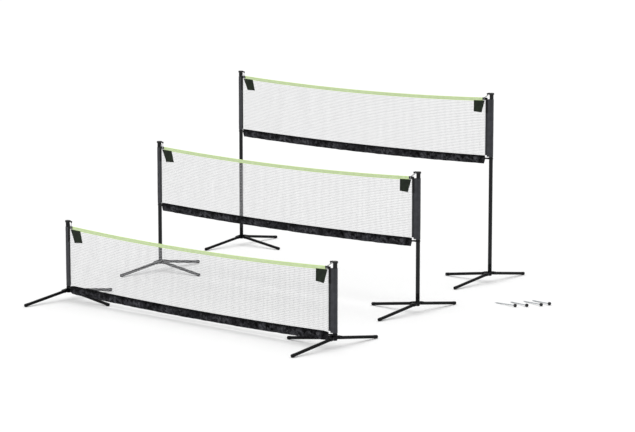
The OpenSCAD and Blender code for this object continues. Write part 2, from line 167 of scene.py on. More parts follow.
lamp = bpy.data.objects.new("softbox", bpy.data.lights.new("softbox", "SUN"))
lamp.data.energy = light["lamp"]
lamp.data.angle = math.radians(light["lampAngle"])
lamp.rotation_euler = [math.radians(turn) for turn in light["lampTilt"]] + [0]
lamp.location = light["lampPlace"]
scene.collection.objects.link(lamp)


def rayIs(tree, *kinds):  # 1 for a ray of one of these kinds
    ray = addNode(tree, "ShaderNodeLightPath")
    found = ray.outputs[f"Is {kinds[0]} Ray"]
    for kind in kinds[1:]:
        found = addNode(tree, "ShaderNodeMath", {0: found, 1: ray.outputs[f"Is {kind} Ray"]},
                        operation="MAXIMUM")
    return found


world = bpy.data.worlds.new("whiteRoom")
world.use_nodes = True
tree = world.node_tree
tree.nodes.clear()
seen = rayIs(tree, "Camera", "Glossy", "Transmission")
strength = addNode(tree, "ShaderNodeMapRange", {"Value": seen, "To Min": light["sky"], "To Max": 1.0})
sky = addNode(tree, "ShaderNodeBackground", {"Color": (1, 1, 1, 1), "Strength": strength})
addNode(tree, "ShaderNodeOutputWorld", {"Surface": sky})
scene.world = world
scene.view_settings.view_transform = "Standard"

half, level = light["floorHalf"], light["floorLevel"]
corners = [(-half, -half, level), (half, -half, level), (half, half, level), (-half, half, level)]
floor = addPiece("floor", corners, [(0, 1, 2, 3)], smooth=False)
floorPaint = bpy.data.materials.new("paintedWhiteFloor")
floorPaint.use_nodes = True
tree = floorPaint.node_tree
tree.nodes.clear()
lift = addNode(tree, "ShaderNodeMath", {0: rayIs(tree, "Camera", "Glossy"), 1: light["floorLift"]},
               operation="MULTIPLY")
matt = addNode(tree, "ShaderNodeBsdfDiffuse", {"Color": colour(light["floor"])})
glow = addNode(tree, "ShaderNodeEmission", {"Color": (1, 1, 1, 1), "Strength": lift})
both = addNode(tree, "ShaderNodeAddShader", {0: matt, 1: glow})
addNode(tree, "ShaderNodeOutputMaterial", {"Surface": both})
useMaterial(floor, floorPaint)
print("camera, light and floor ready")


# Materials: every pattern is sized in millimetres. A noise of scale 0.35 has spots about 3 mm across
def newMaterial(name, onCloth=False, **values):
    material = bpy.data.materials.new(name)
    material.use_nodes = True
    tree = material.node_tree
    shader = tree.nodes["Principled BSDF"]
    for socket, value in values.items():
        shader.inputs[socket.replace("_", " ")].default_value = value
    if onCloth:  # the cloth's own map
        metres = addNode(tree, "ShaderNodeUVMap", uv_map="cloth").outputs[0]
    else:
        metres = addNode(tree, "ShaderNodeTexCoord").outputs["Object"]
    place = addNode(tree, "ShaderNodeVectorMath", {0: metres, 1: (1000, 1000, 1000)},
                    operation="MULTIPLY")
    return material, tree, shader, place.outputs[0]


# Soft blotches between two colours
def blotches(tree, place, size, colours):
    spots = addNode(tree, "ShaderNodeTexNoise", {"Vector": place, "Scale": 1 / size, "Detail": 3.0})
    return addNode(tree, "ShaderNodeValToRGB", {"Fac": spots},
                   stops={0.35: colours[0], 0.65: colours[1]}).outputs[0]


# Lets another colour in, up to a share of it, as a level runs from low to high
def overlay(tree, base, code, level, low, high, share):
    part = addNode(tree, "ShaderNodeMapRange",
                   {"Value": level, "From Min": low, "From Max": high, "To Min": 0.0, "To Max": share})
    return addNode(tree, "ShaderNodeMix", {"Factor": part, "A": base, "B": colour(code)},
                   data_type="RGBA").outputs["Result"]


# Darkens and lightens a colour as a level runs from low to high
def shaded(tree, base, level, dark, bright, low=0.0, high=1.0):
    strength = addNode(tree, "ShaderNodeMapRange", {"Value": level, "From Min": low, "From Max": high,
                                                    "To Min": dark, "To Max": bright})
    return addNode(tree, "ShaderNodeMix", {"Factor": 1.0, "A": base, "B": strength},
                   data_type="RGBA", blend_type="MULTIPLY").outputs["Result"]


# Gives a shader its colour, and a roughness that wanders between two values from spot to spot
def coat(tree, shader, base, place, size, smooth, rough):
    spots = addNode(tree, "ShaderNodeTexNoise", {"Vector": place, "Scale": 1 / size, "Detail": 4.0})
    spread = addNode(tree, "ShaderNodeMapRange", {"Value": spots, "From Min": 0.3, "From Max": 0.7,
                                                  "To Min": smooth, "To Max": rough})
    tree.links.new(base, shader.inputs["Base Color"])
    tree.links.new(spread.outputs[0], shader.inputs["Roughness"])


def addBump(tree, shader, height, depth, strength=1.0, below=None):
    links = {"Height": height, "Distance": depth / 1000, "Strength": strength}
    if below is not None:
        links["Normal"] = below
    bump = addNode(tree, "ShaderNodeBump", links)
    tree.links.new(bump.outputs[0], shader.inputs["Normal"])
    return bump


# Plain weave: threads pass over and under each other every step
def weave(tree, place, stepU, stepV):
    axes = addNode(tree, "ShaderNodeSeparateXYZ", {0: place})
    waves = []
    for axis, step in (("X", stepU), ("Y", stepV)):
        turn = addNode(tree, "ShaderNodeMath", {0: axes.outputs[axis], 1: math.pi / step},
                       operation="MULTIPLY")
        waves.append(addNode(tree, "ShaderNodeMath", {0: turn}, operation="SINE"))
    both = addNode(tree, "ShaderNodeMath", {0: waves[0], 1: waves[1]}, operation="MULTIPLY")
    return addNode(tree, "ShaderNodeMapRange",
                   {"Value": both, "From Min": -1.0, "From Max": 1.0}).outputs[0]


# Steel tube, powder coated black: an even skin with orange peel, a little dust and rubbed spots
def powderCoat(name, colours, shine):
    material, tree, shader, place = newMaterial(name, IOR=1.5, Specular_IOR_Level=shine)
    dust = addNode(tree, "ShaderNodeTexNoise",
                   {"Vector": place, "Scale": 0.35, "Detail": 6.0, "Roughness": 0.7})
    clean = blotches(tree, place, 60, colours)
    dusty = overlay(tree, clean, "#343435", dust, low=0.66, high=0.74, share=0.5)
    coat(tree, shader, dusty, place, size=25, smooth=0.34, rough=0.48)
    peel = addNode(tree, "ShaderNodeTexNoise", {"Vector": place, "Scale": 0.7, "Detail": 1.0})
    addBump(tree, shader, peel, depth=0.06, strength=0.5)
    return material


# Polypropylene moulded in a spark-eroded tool: black with a fine matt grain
def mouldedPlastic():
    material, tree, shader, place = newMaterial("mouldedBlackPolypropylene", IOR=1.49,
                                                Specular_IOR_Level=0.35)
    black = blotches(tree, place, 12, ("#0B0B0D", "#131316"))
    coat(tree, shader, black, place, size=6, smooth=0.3, rough=0.44)
    grain = addNode(tree, "ShaderNodeTexNoise", {"Vector": place, "Scale": 1.6, "Detail": 2.0})
    addBump(tree, shader, grain, depth=0.05, strength=0.5)
    return material


# Small plated hardware: bare metal with a faint cloudy tarnish
def platedMetal(name, colours, cloud, spot, smooth, rough):
    material, tree, shader, place = newMaterial(name, Metallic=1.0)
    coat(tree, shader, blotches(tree, place, cloud, colours), place, spot, smooth, rough)
    return material


# Hot-dip galvanised steel rod: pale grey spangle with soft brushed dulling
def galvanised():
    material, tree, shader, place = newMaterial("galvanisedSteel", Metallic=1.0)
    cells = addNode(tree, "ShaderNodeTexVoronoi", {"Vector": place, "Scale": 0.22}, feature="F1")
    tone = addNode(tree, "ShaderNodeSeparateColor", {0: cells.outputs["Color"]})
    spangle = addNode(tree, "ShaderNodeValToRGB", {"Fac": tone}, stops={0: "#9EA2A5", 1: "#B9BCBE"})
    coat(tree, shader, spangle.outputs[0], place, size=8, smooth=0.28, rough=0.46)
    grain = addNode(tree, "ShaderNodeTexNoise", {"Vector": place, "Scale": 0.9, "Detail": 3.0})
    addBump(tree, shader, grain, depth=0.05, strength=0.4)
    return material


# Twisted polyester twine: off-white, each strand wound at a slant, which the eye sees as fine ribs
def netTwine():
    material, tree, shader, place = newMaterial("twistedWhiteTwine", Roughness=0.72, Sheen_Weight=0.15)
    wound = addNode(tree, "ShaderNodeTexWave", {"Vector": place, "Scale": 0.32, "Distortion": 0.4},
                    wave_type="BANDS", bands_direction="DIAGONAL").outputs["Fac"]
    # Painted light on the turns of the twist and painted shade in the grooves between them
    strand = addNode(tree, "ShaderNodeValToRGB", {"Fac": wound}, stops={0: "#A9AAAC", 1: "#CFCFD1"})
    soil = addNode(tree, "ShaderNodeTexNoise", {"Vector": place, "Scale": 0.006, "Detail": 2.0})
    soiled = overlay(tree, strand, "#B9B8BC", soil, low=0.3, high=0.7, share=0.25)
    tree.links.new(soiled, shader.inputs["Base Color"])
    addBump(tree, shader, wound, depth=0.25, strength=0.6)
    return material


# Cloth with a plain weave. Thread spacing is drawn at about twice the real one, so that it shows
def wovenCloth(name, colours, step, depth, patch, sheen):
    material, tree, shader, place = newMaterial(name, onCloth=True, Sheen_Weight=sheen,
                                                Sheen_Roughness=0.45, Specular_IOR_Level=0.2)
    threads = weave(tree, place, step, step)
    dyed = blotches(tree, place, patch, colours)
    # Painted shade between the threads and painted light on their crossings
    tint = shaded(tree, dyed, threads, dark=0.78, bright=1.08)
    coat(tree, shader, tint, place, size=20, smooth=0.6, rough=0.75)
    addBump(tree, shader, threads, depth, strength=0.7)
    return material


# Nylon taffeta, crumpled: thin, tight and black, with painted shade in its hollows and painted light
# where a fold would catch it
def crumpledTaffeta():
    material, tree, shader, place = newMaterial("crumpledBlackTaffeta", onCloth=True,
                                                Specular_IOR_Level=0.03)
    hollows = addNode(tree, "ShaderNodeTexNoise", {"Vector": place, "Scale": 0.05, "Detail": 6.0,
                                                   "Roughness": 0.66, "Distortion": 0.3})
    pull = addNode(tree, "ShaderNodeVectorMath",
                   {0: hollows.outputs["Color"], 1: (16, 16, 16), 2: place}, operation="MULTIPLY_ADD")
    # Flat facets about 16 mm across, each with painted light to suit its own slant to the light
    facets = addNode(tree, "ShaderNodeTexVoronoi",
                     {"Vector": pull, "Scale": 0.062, "Smoothness": 0.35}, feature="SMOOTH_F1")
    facet = addNode(tree, "ShaderNodeSeparateColor", {0: facets.outputs["Color"]})
    lit = addNode(tree, "ShaderNodeMath", {0: facet, 1: 0.4, 2: hollows}, operation="MULTIPLY_ADD")
    tone = addNode(tree, "ShaderNodeValToRGB", {"Fac": lit}, stops={0.58: "#040405", 0.88: "#525256"})
    creases = addNode(tree, "ShaderNodeTexNoise",
                      {"Vector": place, "Scale": 0.022, "Detail": 4.0, "Roughness": 0.55,
                       "Lacunarity": 2.3, "Offset": 0.95, "Gain": 1.6, "Distortion": 0.25},
                      noise_type="RIDGED_MULTIFRACTAL", normalize=True)
    # Painted highlight, a lighter grey, along the ridges of the creases
    tint = overlay(tree, tone, "#57575E", creases, low=0.6, high=1.0, share=0.3)
    down = addNode(tree, "ShaderNodeSeparateXYZ", {0: place})
    # Darker by the seam, fading out from 12 to 24 mm down the cloth
    tint = shaded(tree, tint, down.outputs["Y"], dark=0.25, bright=1.0, low=12.0, high=24.0)
    broad = addNode(tree, "ShaderNodeTexNoise", {"Vector": place, "Scale": 0.011, "Detail": 2.0})
    # Painted light and shade in broad patches, for taut and slack stretches
    tint = shaded(tree, tint, broad, dark=0.3, bright=1.25, low=0.38, high=0.62)
    coat(tree, shader, tint, place, size=18, smooth=0.34, rough=0.5)
    folds = addBump(tree, shader, hollows, depth=5.0)
    folds = addBump(tree, shader, facets.outputs["Distance"], depth=7.0, below=folds)
    folds = addBump(tree, shader, creases, depth=4.0, below=folds)
    threads = weave(tree, place, 1.0, 1.0)
    addBump(tree, shader, threads, depth=0.05, strength=0.6, below=folds)
    return material


# Flat polypropylene webbing: ribs across the width that lean to and fro as zigzags, slightly shiny
def webbing(name, colours, rib, zig, lean, depth):  # lean: how far a rib turns for each mm across
    material, tree, shader, place = newMaterial(name, onCloth=True, Sheen_Weight=0.03,
                                                Specular_IOR_Level=0.15)
    axes = addNode(tree, "ShaderNodeSeparateXYZ", {0: place})
    along = addNode(tree, "ShaderNodeMath", {0: axes.outputs["X"], 1: 2 * math.pi / rib},
                    operation="MULTIPLY")
    zigzag = addNode(tree, "ShaderNodeMath", {0: axes.outputs["Y"], 1: zig}, operation="PINGPONG")
    turn = addNode(tree, "ShaderNodeMath", {0: zigzag, 1: lean, 2: along}, operation="MULTIPLY_ADD")
    ribs = addNode(tree, "ShaderNodeMath", {0: turn}, operation="SINE")
    level = addNode(tree, "ShaderNodeMapRange", {"Value": ribs, "From Min": -1.0, "From Max": 1.0})
    # Painted light on the crests of the ribs and painted shade in the troughs
    ribLightAndShade = addNode(tree, "ShaderNodeValToRGB", {"Fac": level}, stops={0: colours[0], 1: colours[1]})
    coat(tree, shader, ribLightAndShade.outputs[0], place, size=10, smooth=0.5, rough=0.66)
    addBump(tree, shader, level, depth, strength=0.8)
    return material


# Lime head tape: woven polyester, a clearer green towards its upper and lower edges than in its paler
# middle
def limeTape():
    material, tree, shader, place = newMaterial("limeWovenTape", onCloth=True, Sheen_Weight=0.1,
                                                Sheen_Roughness=0.5)
    axes = addNode(tree, "ShaderNodeSeparateXYZ", {0: place})
    across = addNode(tree, "ShaderNodeMath", {0: axes.outputs["Y"]}, operation="ABSOLUTE")
    middle = blotches(tree, place, 45, ("#D8ECB4", "#E3F6C3"))
    greenerEdges = overlay(tree, middle, "#DCF8A6", across, low=6.0, high=11.0, share=1.0)
    threads = weave(tree, place, 1.1, 1.1)
    # Painted shade between the threads and painted light on their crossings
    tint = shaded(tree, greenerEdges, threads, dark=0.88, bright=1.04)
    coat(tree, shader, tint, place, size=15, smooth=0.6, rough=0.72)
    addBump(tree, shader, threads, depth=0.18, strength=0.6)
    return material


# Braided polyester cord: a round sheath whose carriers cross in small diamonds
def braidedCord():
    material, tree, shader, place = newMaterial("braidedBlackCord", onCloth=True, Sheen_Weight=0.03,
                                                Specular_IOR_Level=0.2)
    crossed = weave(tree, place, 1.4, 1.25)
    # Painted light on the crossing carriers and painted shade between them
    sheath = addNode(tree, "ShaderNodeValToRGB", {"Fac": crossed}, stops={0: "#0C0C0D", 1: "#2B2B2E"})
    coat(tree, shader, sheath.outputs[0], place, size=4, smooth=0.5, rough=0.62)
    addBump(tree, shader, crossed, depth=0.2, strength=0.8)
    return material


# Sewing thread: bonded polyester with a slight lustre
def sewingThread(name, code):
    material, tree, shader, place = newMaterial(name, Sheen_Weight=0.1)
    spun = addNode(tree, "ShaderNodeTexNoise", {"Vector": place, "Scale": 1.5, "Detail": 2.0})
    tint = shaded(tree, colour(code), spun, dark=0.75, bright=1.2)
    coat(tree, shader, tint, place, size=2, smooth=0.4, rough=0.55)
    return material


# Feet and legs: the same powder coat as the poles, painted darker as shade, near pure black and matt
shadedLegPaint = powderCoat("shadedBlackPowderCoat", ("#060607", "#0D0E0F"), shine=0.08)
# Poles: the same powder coat, satin, and painted a little greyer than the feet as light on them
litPolePaint = powderCoat("litBlackPowderCoat", ("#121315", "#1B1C1E"), shine=0.22)
plastic = mouldedPlastic()
# Steel fasteners, zinc plated and blackened: dark metal
boltFinish = platedMetal("blackZincSteel", ("#2A2A2C", "#46464A"), cloud=5, spot=3,
                         smooth=0.32, rough=0.5)
# Brass eyelets, nickel plated: pale metal, dulled in the rolled edge
eyeletMetal = platedMetal("dullNickelPlate", ("#7D817C", "#A6AAA4"), cloud=3, spot=2,
                          smooth=0.22, rough=0.42)
pegSteel = galvanised()
twineWhite = netTwine()
# Oxford nylon, dyed dark grey: a close weave with a soft bloom where it is stretched
sleeveCloth = wovenCloth("darkGreyOxfordNylon", ("#37383C", "#434449"), step=1.3, depth=0.16,
                         patch=40, sheen=0.25)
# The same nylon folded double and pressed, made darker as painted shade on the flat hem
shadedHemCloth = wovenCloth("shadedGreyHemNylon", ("#26272A", "#313236"), step=1.3, depth=0.16,
                      patch=30, sheen=0.15)
bandCloth = crumpledTaffeta()
# Coated polyester canvas, dyed near-black green, bare
flagCloth = wovenCloth("blackGreenCanvas", ("#0F160C", "#1B2915"), step=1.2, depth=0.14,
                       patch=35, sheen=0.08)
strapBlack = webbing("blackWebbing", ("#060607", "#18181A"), rib=2.2, zig=4.0, lean=1.6, depth=0.3)
tapeCloth = limeTape()
cordBlack = braidedCord()
threadGrey = sewingThread("greyThread", "#5A5B60")
threadBlack = sewingThread("blackThread", "#19191B")
threadLime = sewingThread("limeThread", "#DDF4B4")
print("materials ready")


# The shape that the three nets share
span = {
    "tapeDrop": 0.036,  # tape's middle line below the top of the tube, at the poles
    "tapeSag": 0.035,
    "tapeHeight": 0.028,
    "tapeStart": 0.072,  # from the pole axis
    "bandDrop": 0.0328,  # band's upper edge below the lower end of the top tube
    "bandSag": 0.022,
    "bandHeight": 0.067,
    "bandSlant": 0.010,  # cut off the ends below the ties
    "bandUpright": 0.48,  # share of its height where the ends are upright
    "bandDroop": {"low": 0.008, "mid": 0.002, "high": 0.001},  # slack upper corners
    "droopWide": 0.06,
    "hem": 0.046,  # from the pole axis to the outer edge of the sleeve's hem
}


class Net:  # where one net stands, read from its packed poles and cloth
    def __init__(self, name):
        low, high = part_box(name + "_poles")
        self.name = name
        self.body = name + "_top"
        self.tube = (high.y - low.y) / 2
        self.half = (high.x - low.x) / 2 - self.tube
        self.x, self.y = (low.x + high.x) / 2, (low.y + high.y) / 2
        self.foot, self.top = low.z, high.z
        low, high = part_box(name + "_net")
        self.clothY = (low.y + high.y) / 2 - self.y

    def dip(self, x):
        return 1 - (x / self.half) ** 2

    def tapeMid(self, x):
        return self.top - span["tapeDrop"] - span["tapeSag"] * self.dip(x)

    def tapeLow(self, x):
        return self.tapeMid(x) - span["tapeHeight"] / 2

    def bandTop(self, x):
        corner = max(0.0, 1 - (self.half - span["hem"] - abs(x)) / span["droopWide"])
        straight = self.foot - span["bandDrop"] - span["bandSag"] * self.dip(x)
        return straight - span["bandDroop"][self.name] * corner ** 2

    def world(self, x, y, z):  # x and y from the net's middle, z already a real height
        return (self.x + x, self.y + y, z)

    def atPole(self, side, x, y, z):  # x from the pole along the net, side -1 left or 1 right
        return (self.x + side * (self.half - x), self.y + y, z)


allNets = [Net("low"), Net("mid"), Net("high")]
allPoles = [(net, side, f"{net.name}_{word}")
            for net in allNets for word, side in (("left", -1), ("right", 1))]
upwards = Vector((0, 0, 1))


def finishPiece(piece, material, net, slot, *replaced):
    useMaterial(piece, material)
    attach(piece, net.body)
    if replaced:
        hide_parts(*replaced)
    return piece


# Top cords: a loop of cord over the hook's neck and through the eyelet, tied in front of it
cordSize = {
    "thick": 0.0032,
    "sides": 10,
    "stepsPerPoint": 9,
    "knotAt": 7.25,  # place of the knot along the route
    "knotForward": 0.0018,
    "knotSize": 0.0024 / 2.6,  # the knot's curve reaches about 2.6 times this far from its middle
    "knotRadius": 0.0032 / 2.3,  # of the cord in the knot, pulled a little thinner
    "knotSides": 8,
    "knotSteps": 46,
    "knotGap": 5,  # steps of the closed curve left out where the tails come in
    "knotDeep": 0.55,  # its depth, as a share of its size
    "tailBend": 0.6,  # place of the bend along a tail
    "tails": ((0.004, -0.004, -0.014), (-0.005, -0.005, -0.0112)),
}
# Route in millimetres: from the pole axis along the net, forwards, and up from the top of the tube
cordRoute = [(27.1, -5.9, 12.9), (27.1, 5.9, 12.9), (28.1, 8.9, 8.0), (30.1, 8.9, 0.0),
             (58.0, -13.85, -28.0), (61.0, -17.85, -32.0), (61.0, -23.85, -32.0),
             (58.0, -27.85, -27.0), (51.0, -21.85, -20.4), (30.1, -8.9, 0.0), (28.1, -8.9, 8.0)]


def smoothRoute(points, at):  # Catmull-Rom point on a closed route
    count, k = len(points), math.floor(at)
    f = at - k
    a, b, c, d = (Vector(points[(k + i) % count]) for i in (-1, 0, 1, 2))
    return b + f / 2 * ((c - a) + f * ((2 * a - 5 * b + 4 * c - d) + f * (3 * b - a - 3 * c + d)))


def tube(name, path, radius, count):
    rows, normal = [], None
    for i, p in enumerate(path):
        ahead = (path[min(i + 1, len(path) - 1)] - path[max(i - 1, 0)]).normalized()
        if normal is None:
            normal = ahead.orthogonal().normalized()
        normal = (normal - ahead * normal.dot(ahead)).normalized()
        other = normal.cross(ahead)
        rows.append([p + radius * (math.cos(a) * normal + math.sin(a) * other)
                     for a in (2 * math.pi * k / count for k in range(count))])
    around = [2 * math.pi * radius * k / count for k in range(count + 1)]
    return skin(name, rows, pathLengths(path), around, ends=True)


def knotPath(centre, size, tailA, tailB):  # a small overhand knot whose ends run into two tails
    steps, gap, bend = cordSize["knotSteps"], cordSize["knotGap"], cordSize["tailBend"]
    points = [centre + Vector(tailA), centre + Vector(tailA) * bend]
    for k in range(steps - gap):
        t = 2 * math.pi * (k + gap / 2) / steps
        x, z = math.sin(t) + 2 * math.sin(2 * t), math.cos(t) - 2 * math.cos(2 * t)
        points.append(centre + size * Vector((x, cordSize["knotDeep"] * -math.sin(3 * t), z)))
    return points + [centre + Vector(tailB) * bend, centre + Vector(tailB)]


for net, side, name in allPoles:
    path = []
    for i in range(len(cordRoute) * cordSize["stepsPerPoint"] + 1):
        p = smoothRoute(cordRoute, cordSize["knotAt"] + i / cordSize["stepsPerPoint"])
        path.append(Vector(net.atPole(side, p.x / 1000, p.y / 1000, net.top + p.z / 1000)))
    loop = tube(name + "_cord", path, cordSize["thick"] / 2, cordSize["sides"])
    centre = path[0] - Vector((0, cordSize["knotForward"], 0))
    tails = [(side * x, y, z) for x, y, z in cordSize["tails"]]
    knot = tube(name + "_cord_knot", knotPath(centre, cordSize["knotSize"], *tails),
                cordSize["knotRadius"], cordSize["knotSides"])
    finishPiece(loop, cordBlack, net, "black_cord", net.name + "_top_cords")
    finishPiece(knot, cordBlack, net, "black_cord")
    pathLengths(path)[-1]
print("top cords tied")


# Node trees take a geometry, some sizes and a material, and end in plain meshes
def startTree(name, sizes):
    tree = bpy.data.node_groups.new(name, "GeometryNodeTree")
    kinds = {"Geometry": "Geometry", **{size: "Float" for size in sizes}, "Material": "Material"}
    for label, kind in kinds.items():
        tree.interface.new_socket(label, in_out="INPUT", socket_type="NodeSocket" + kind)
    tree.interface.new_socket("Geometry", in_out="OUTPUT", socket_type="NodeSocketGeometry")
    return tree, addNode(tree, "NodeGroupInput").outputs


def endTree(tree, shape, material):
    real = addNode(tree, "GeometryNodeRealizeInstances", {0: shape})
    soft = addNode(tree, "GeometryNodeSetShadeSmooth", {0: real})
    dressed = addNode(tree, "GeometryNodeSetMaterial", {0: soft, "Material": material})
    addNode(tree, "NodeGroupOutput", {0: dressed})
    return tree


def growNodes(base, tree, name, values):  # runs a node tree on a base mesh, which becomes the piece
    modifier = base.modifiers.new(tree.name, "NODES")
    modifier.node_group = tree
    for item in tree.interface.items_tree:
        if item.in_out == "INPUT" and item.name in values:
            modifier[item.identifier] = values[item.name]
    applyModifiers(base)
    base.name = base.data.name = name
    return base


# Netting: square meshes of knotted twine, hung between tape, band and hems
netting = {
    "mesh": 0.0122,  # knot to knot
    "twine": 0.0021,
    # Area over the twine's flat area. Picked, not measured: half the mesh's surface is 1.66 of that
    # flat area and 0.57 of the whole rectangle, and a share within 0.7 to 1.6 is asked for
    "areaFactor": 1.5,
    "knot": 0.0018,
    "sewnIn": 0.002,  # how far it reaches into the hems
    "lap": 0.004,  # and behind the tape and the band
    "ripple": 0.0045,  # how far the slack folds swing out of the plane
    "rippleLength": 0.11,
    "rippleShape": (1.0, 1.0, 0.3),  # lower along an axis is longer along it
    "rippleRange": (0.25, 0.75),  # of the noise that the folds come from
    "tautEnd": 0.28,  # the folds die out over this length towards a pole
    "tautEdge": 0.6,  # lower is slack closer to the tape and the band
    "unevenness": 0.0012,
    "unevenPatches": 45.0,  # a metre
    "seed": 11,
    "seedStep": 3.7,
}


def nettingTree():
    tree, given = startTree("knottedNet", ("Twine", "Knot", "Ripple", "Ripple Length", "Unevenness",
                                           "Seed"))
    slack = addNode(tree, "GeometryNodeInputNamedAttribute", {"Name": "slack"}, data_type="FLOAT")
    where = addNode(tree, "GeometryNodeInputPosition").outputs[0]
    longWays = addNode(tree, "ShaderNodeVectorMath", {0: where, 1: netting["rippleShape"]},
                       operation="MULTIPLY")
    wide = addNode(tree, "ShaderNodeMath", {0: 1.0, 1: given["Ripple Length"]}, operation="DIVIDE")
    folds = addNode(tree, "ShaderNodeTexNoise",
                    {"Vector": longWays, "W": given["Seed"], "Scale": wide, "Detail": 1.0},
                    noise_dimensions="4D")
    low, high = netting["rippleRange"]
    swing = addNode(tree, "ShaderNodeMapRange",
                    {"Value": folds, "From Min": low, "From Max": high, "To Min": -1.0, "To Max": 1.0})
    for factor in (given["Ripple"], slack):
        swing = addNode(tree, "ShaderNodeMath", {0: swing, 1: factor}, operation="MULTIPLY")
    out = addNode(tree, "ShaderNodeCombineXYZ", {"Y": swing})
    loose = addNode(tree, "ShaderNodeTexNoise",
                    {"Vector": where, "W": given["Seed"], "Scale": netting["unevenPatches"],
                     "Detail": 0.0}, noise_dimensions="4D")
    centred = addNode(tree, "ShaderNodeVectorMath", {0: loose.outputs["Color"], 1: (0.5, 0.5, 0.5)},
                      operation="SUBTRACT")
    amount = addNode(tree, "ShaderNodeMath", {0: given["Unevenness"], 1: slack}, operation="MULTIPLY")
    shift = addNode(tree, "ShaderNodeVectorMath", {0: centred, "Scale": amount}, operation="SCALE")
    moved = addNode(tree, "ShaderNodeVectorMath", {0: out, 1: shift}, operation="ADD")
    hung = addNode(tree, "GeometryNodeSetPosition", {"Geometry": given["Geometry"], "Offset": moved})
    lines = addNode(tree, "GeometryNodeMeshToCurve", {"Mesh": hung})
    radius = addNode(tree, "ShaderNodeMath", {0: given["Twine"], 1: 0.5}, operation="MULTIPLY")
    strand = addNode(tree, "GeometryNodeCurvePrimitiveCircle", {"Resolution": 4, "Radius": radius})
    strands = addNode(tree, "GeometryNodeCurveToMesh", {"Curve": lines, "Profile Curve": strand})
    bead = addNode(tree, "GeometryNodeMeshUVSphere",
                   {"Segments": 4, "Rings": 2, "Radius": given["Knot"]})
    turn = addNode(tree, "FunctionNodeRandomValue", {0: (-0.5, -0.5, -0.5), 1: (0.5, 0.5, 0.5)},
                   data_type="FLOAT_VECTOR")
    # No knots on the border, where there is no slack
    inside = addNode(tree, "ShaderNodeMath", {0: slack, 1: 0.001}, operation="GREATER_THAN")
    knots = addNode(tree, "GeometryNodeInstanceOnPoints",
                    {"Points": hung, "Selection": inside, "Instance": bead, "Rotation": turn})
    both = addNode(tree, "GeometryNodeJoinGeometry")
    for made in (strands, knots):
        tree.links.new(made.outputs[0], both.inputs[0])
    return endTree(tree, both, given["Material"])


knottedNet = nettingTree()
for k, net in enumerate(allNets):
    reach = net.half - span["hem"] + netting["sewnIn"]
    wide, high = 2 * reach, net.tapeLow(0) - net.bandTop(0)
    columns, meshRows = round(wide / netting["mesh"]), round(high / netting["mesh"])
    points, slack = [], []
    for i in range(columns + 1):
        x = -reach + wide * i / columns
        top, bottom = net.tapeLow(x) + netting["lap"], net.bandTop(x) - netting["lap"]
        for j in range(meshRows + 1):
            points.append(net.world(x, net.clothY, bottom + (top - bottom) * j / meshRows))
            fromEnd = min(1.0, (reach - abs(x)) / netting["tautEnd"])
            slack.append(fromEnd * math.sin(math.pi * j / meshRows) ** netting["tautEdge"])
    tall = meshRows + 1
    faces = [(i * tall + j, (i + 1) * tall + j, (i + 1) * tall + j + 1, i * tall + j + 1)
             for i in range(columns) for j in range(meshRows)]
    base = addPiece(net.name + "_net_plan", points, faces)
    attribute = base.data.attributes.new("slack", "FLOAT", "POINT")
    attribute.data.foreach_set("value", np.asarray(slack, np.float32))
    made = growNodes(base, knottedNet, net.name + "_netting", {
        "Twine": netting["twine"], "Knot": netting["knot"], "Ripple": netting["ripple"],
        "Ripple Length": netting["rippleLength"], "Unevenness": netting["unevenness"],
        "Seed": netting["seed"] + k * netting["seedStep"], "Material": twineWhite})
    finishPiece(made, twineWhite, net, "net_twine", net.name + "_net")
    print(made.name, "faces:", len(made.data.polygons))


# Lines of stitching
stitching = {
    "long": 0.0042,
    "gap": 0.0058,  # from one stitch to the next
    "thick": 0.0008,
}


def stitchTree():
    tree, given = startTree("stitchRow", ("Long", "Gap", "Thick"))
    line = addNode(tree, "GeometryNodeMeshToCurve", {"Mesh": given["Geometry"]})
    spaced = addNode(tree, "GeometryNodeResampleCurve", {"Curve": line, "Length": given["Gap"]},
                     mode="LENGTH")
    ahead = addNode(tree, "GeometryNodeInputTangent")
    turn = addNode(tree, "FunctionNodeAlignRotationToVector", {"Vector": ahead}, axis="X")
    bead = addNode(tree, "GeometryNodeMeshIcoSphere", {"Radius": 0.5, "Subdivisions": 1})
    size = addNode(tree, "ShaderNodeCombineXYZ",
                   {"X": given["Long"], "Y": given["Thick"], "Z": given["Thick"]})
    sewn = addNode(tree, "GeometryNodeInstanceOnPoints",
                   {"Points": spaced, "Instance": bead, "Rotation": turn, "Scale": size})
    return endTree(tree, sewn, given["Material"])


stitchRow = stitchTree()
seams = {net.name: {"lime": [], "grey": [], "black": []} for net in allNets}
print("stitch tree ready")


def addSeam(net, thread, points):
    seams[net.name][thread].append([Vector(p) for p in points])


# A flat row of stitches; line holds distances from the pole, each with its height
def sewAtPole(net, side, thread, y, line):
    addSeam(net, thread, [net.atPole(side, x, y, z) for x, z in line])


# A flat strap along a path, wide in the given direction, its edges pressed thin
edging = {
    "wide": 0.0012,
    "parts": 6,  # an edge takes no more than this part of the strap's width
    "thin": 0.35,  # share of the thickness that is left there
}


def ribbon(name, path, wide, width, thick, closed=False):
    w, h = width / 2, thick / 2
    edge, lip = min(edging["wide"], width / edging["parts"]), h * edging["thin"]
    section = [(-w + edge, h), (-w / 3, h), (w / 3, h), (w - edge, h), (w, lip), (w, -lip)]
    section += [(-a, -b) for a, b in section]
    rows, count = [], len(path)
    for i, p in enumerate(path):
        before = path[(i - 1) % count] if closed else path[max(i - 1, 0)]
        after = path[(i + 1) % count] if closed else path[min(i + 1, count - 1)]
        ahead = (after - before).normalized()
        side = (wide - ahead * wide.dot(ahead)).normalized()
        out = ahead.cross(side)
        rows.append([p + side * a + out * b for a, b in section])
    us = pathLengths(path)
    if closed:
        rows.append(rows[0])
        us.append(us[-1] + (path[0] - path[-1]).length)
    made = skin(name, rows, us, [a for a, b in section] + [section[0][0]], ends=not closed)
    if closed:
        mergeDoubles(made)
    return made


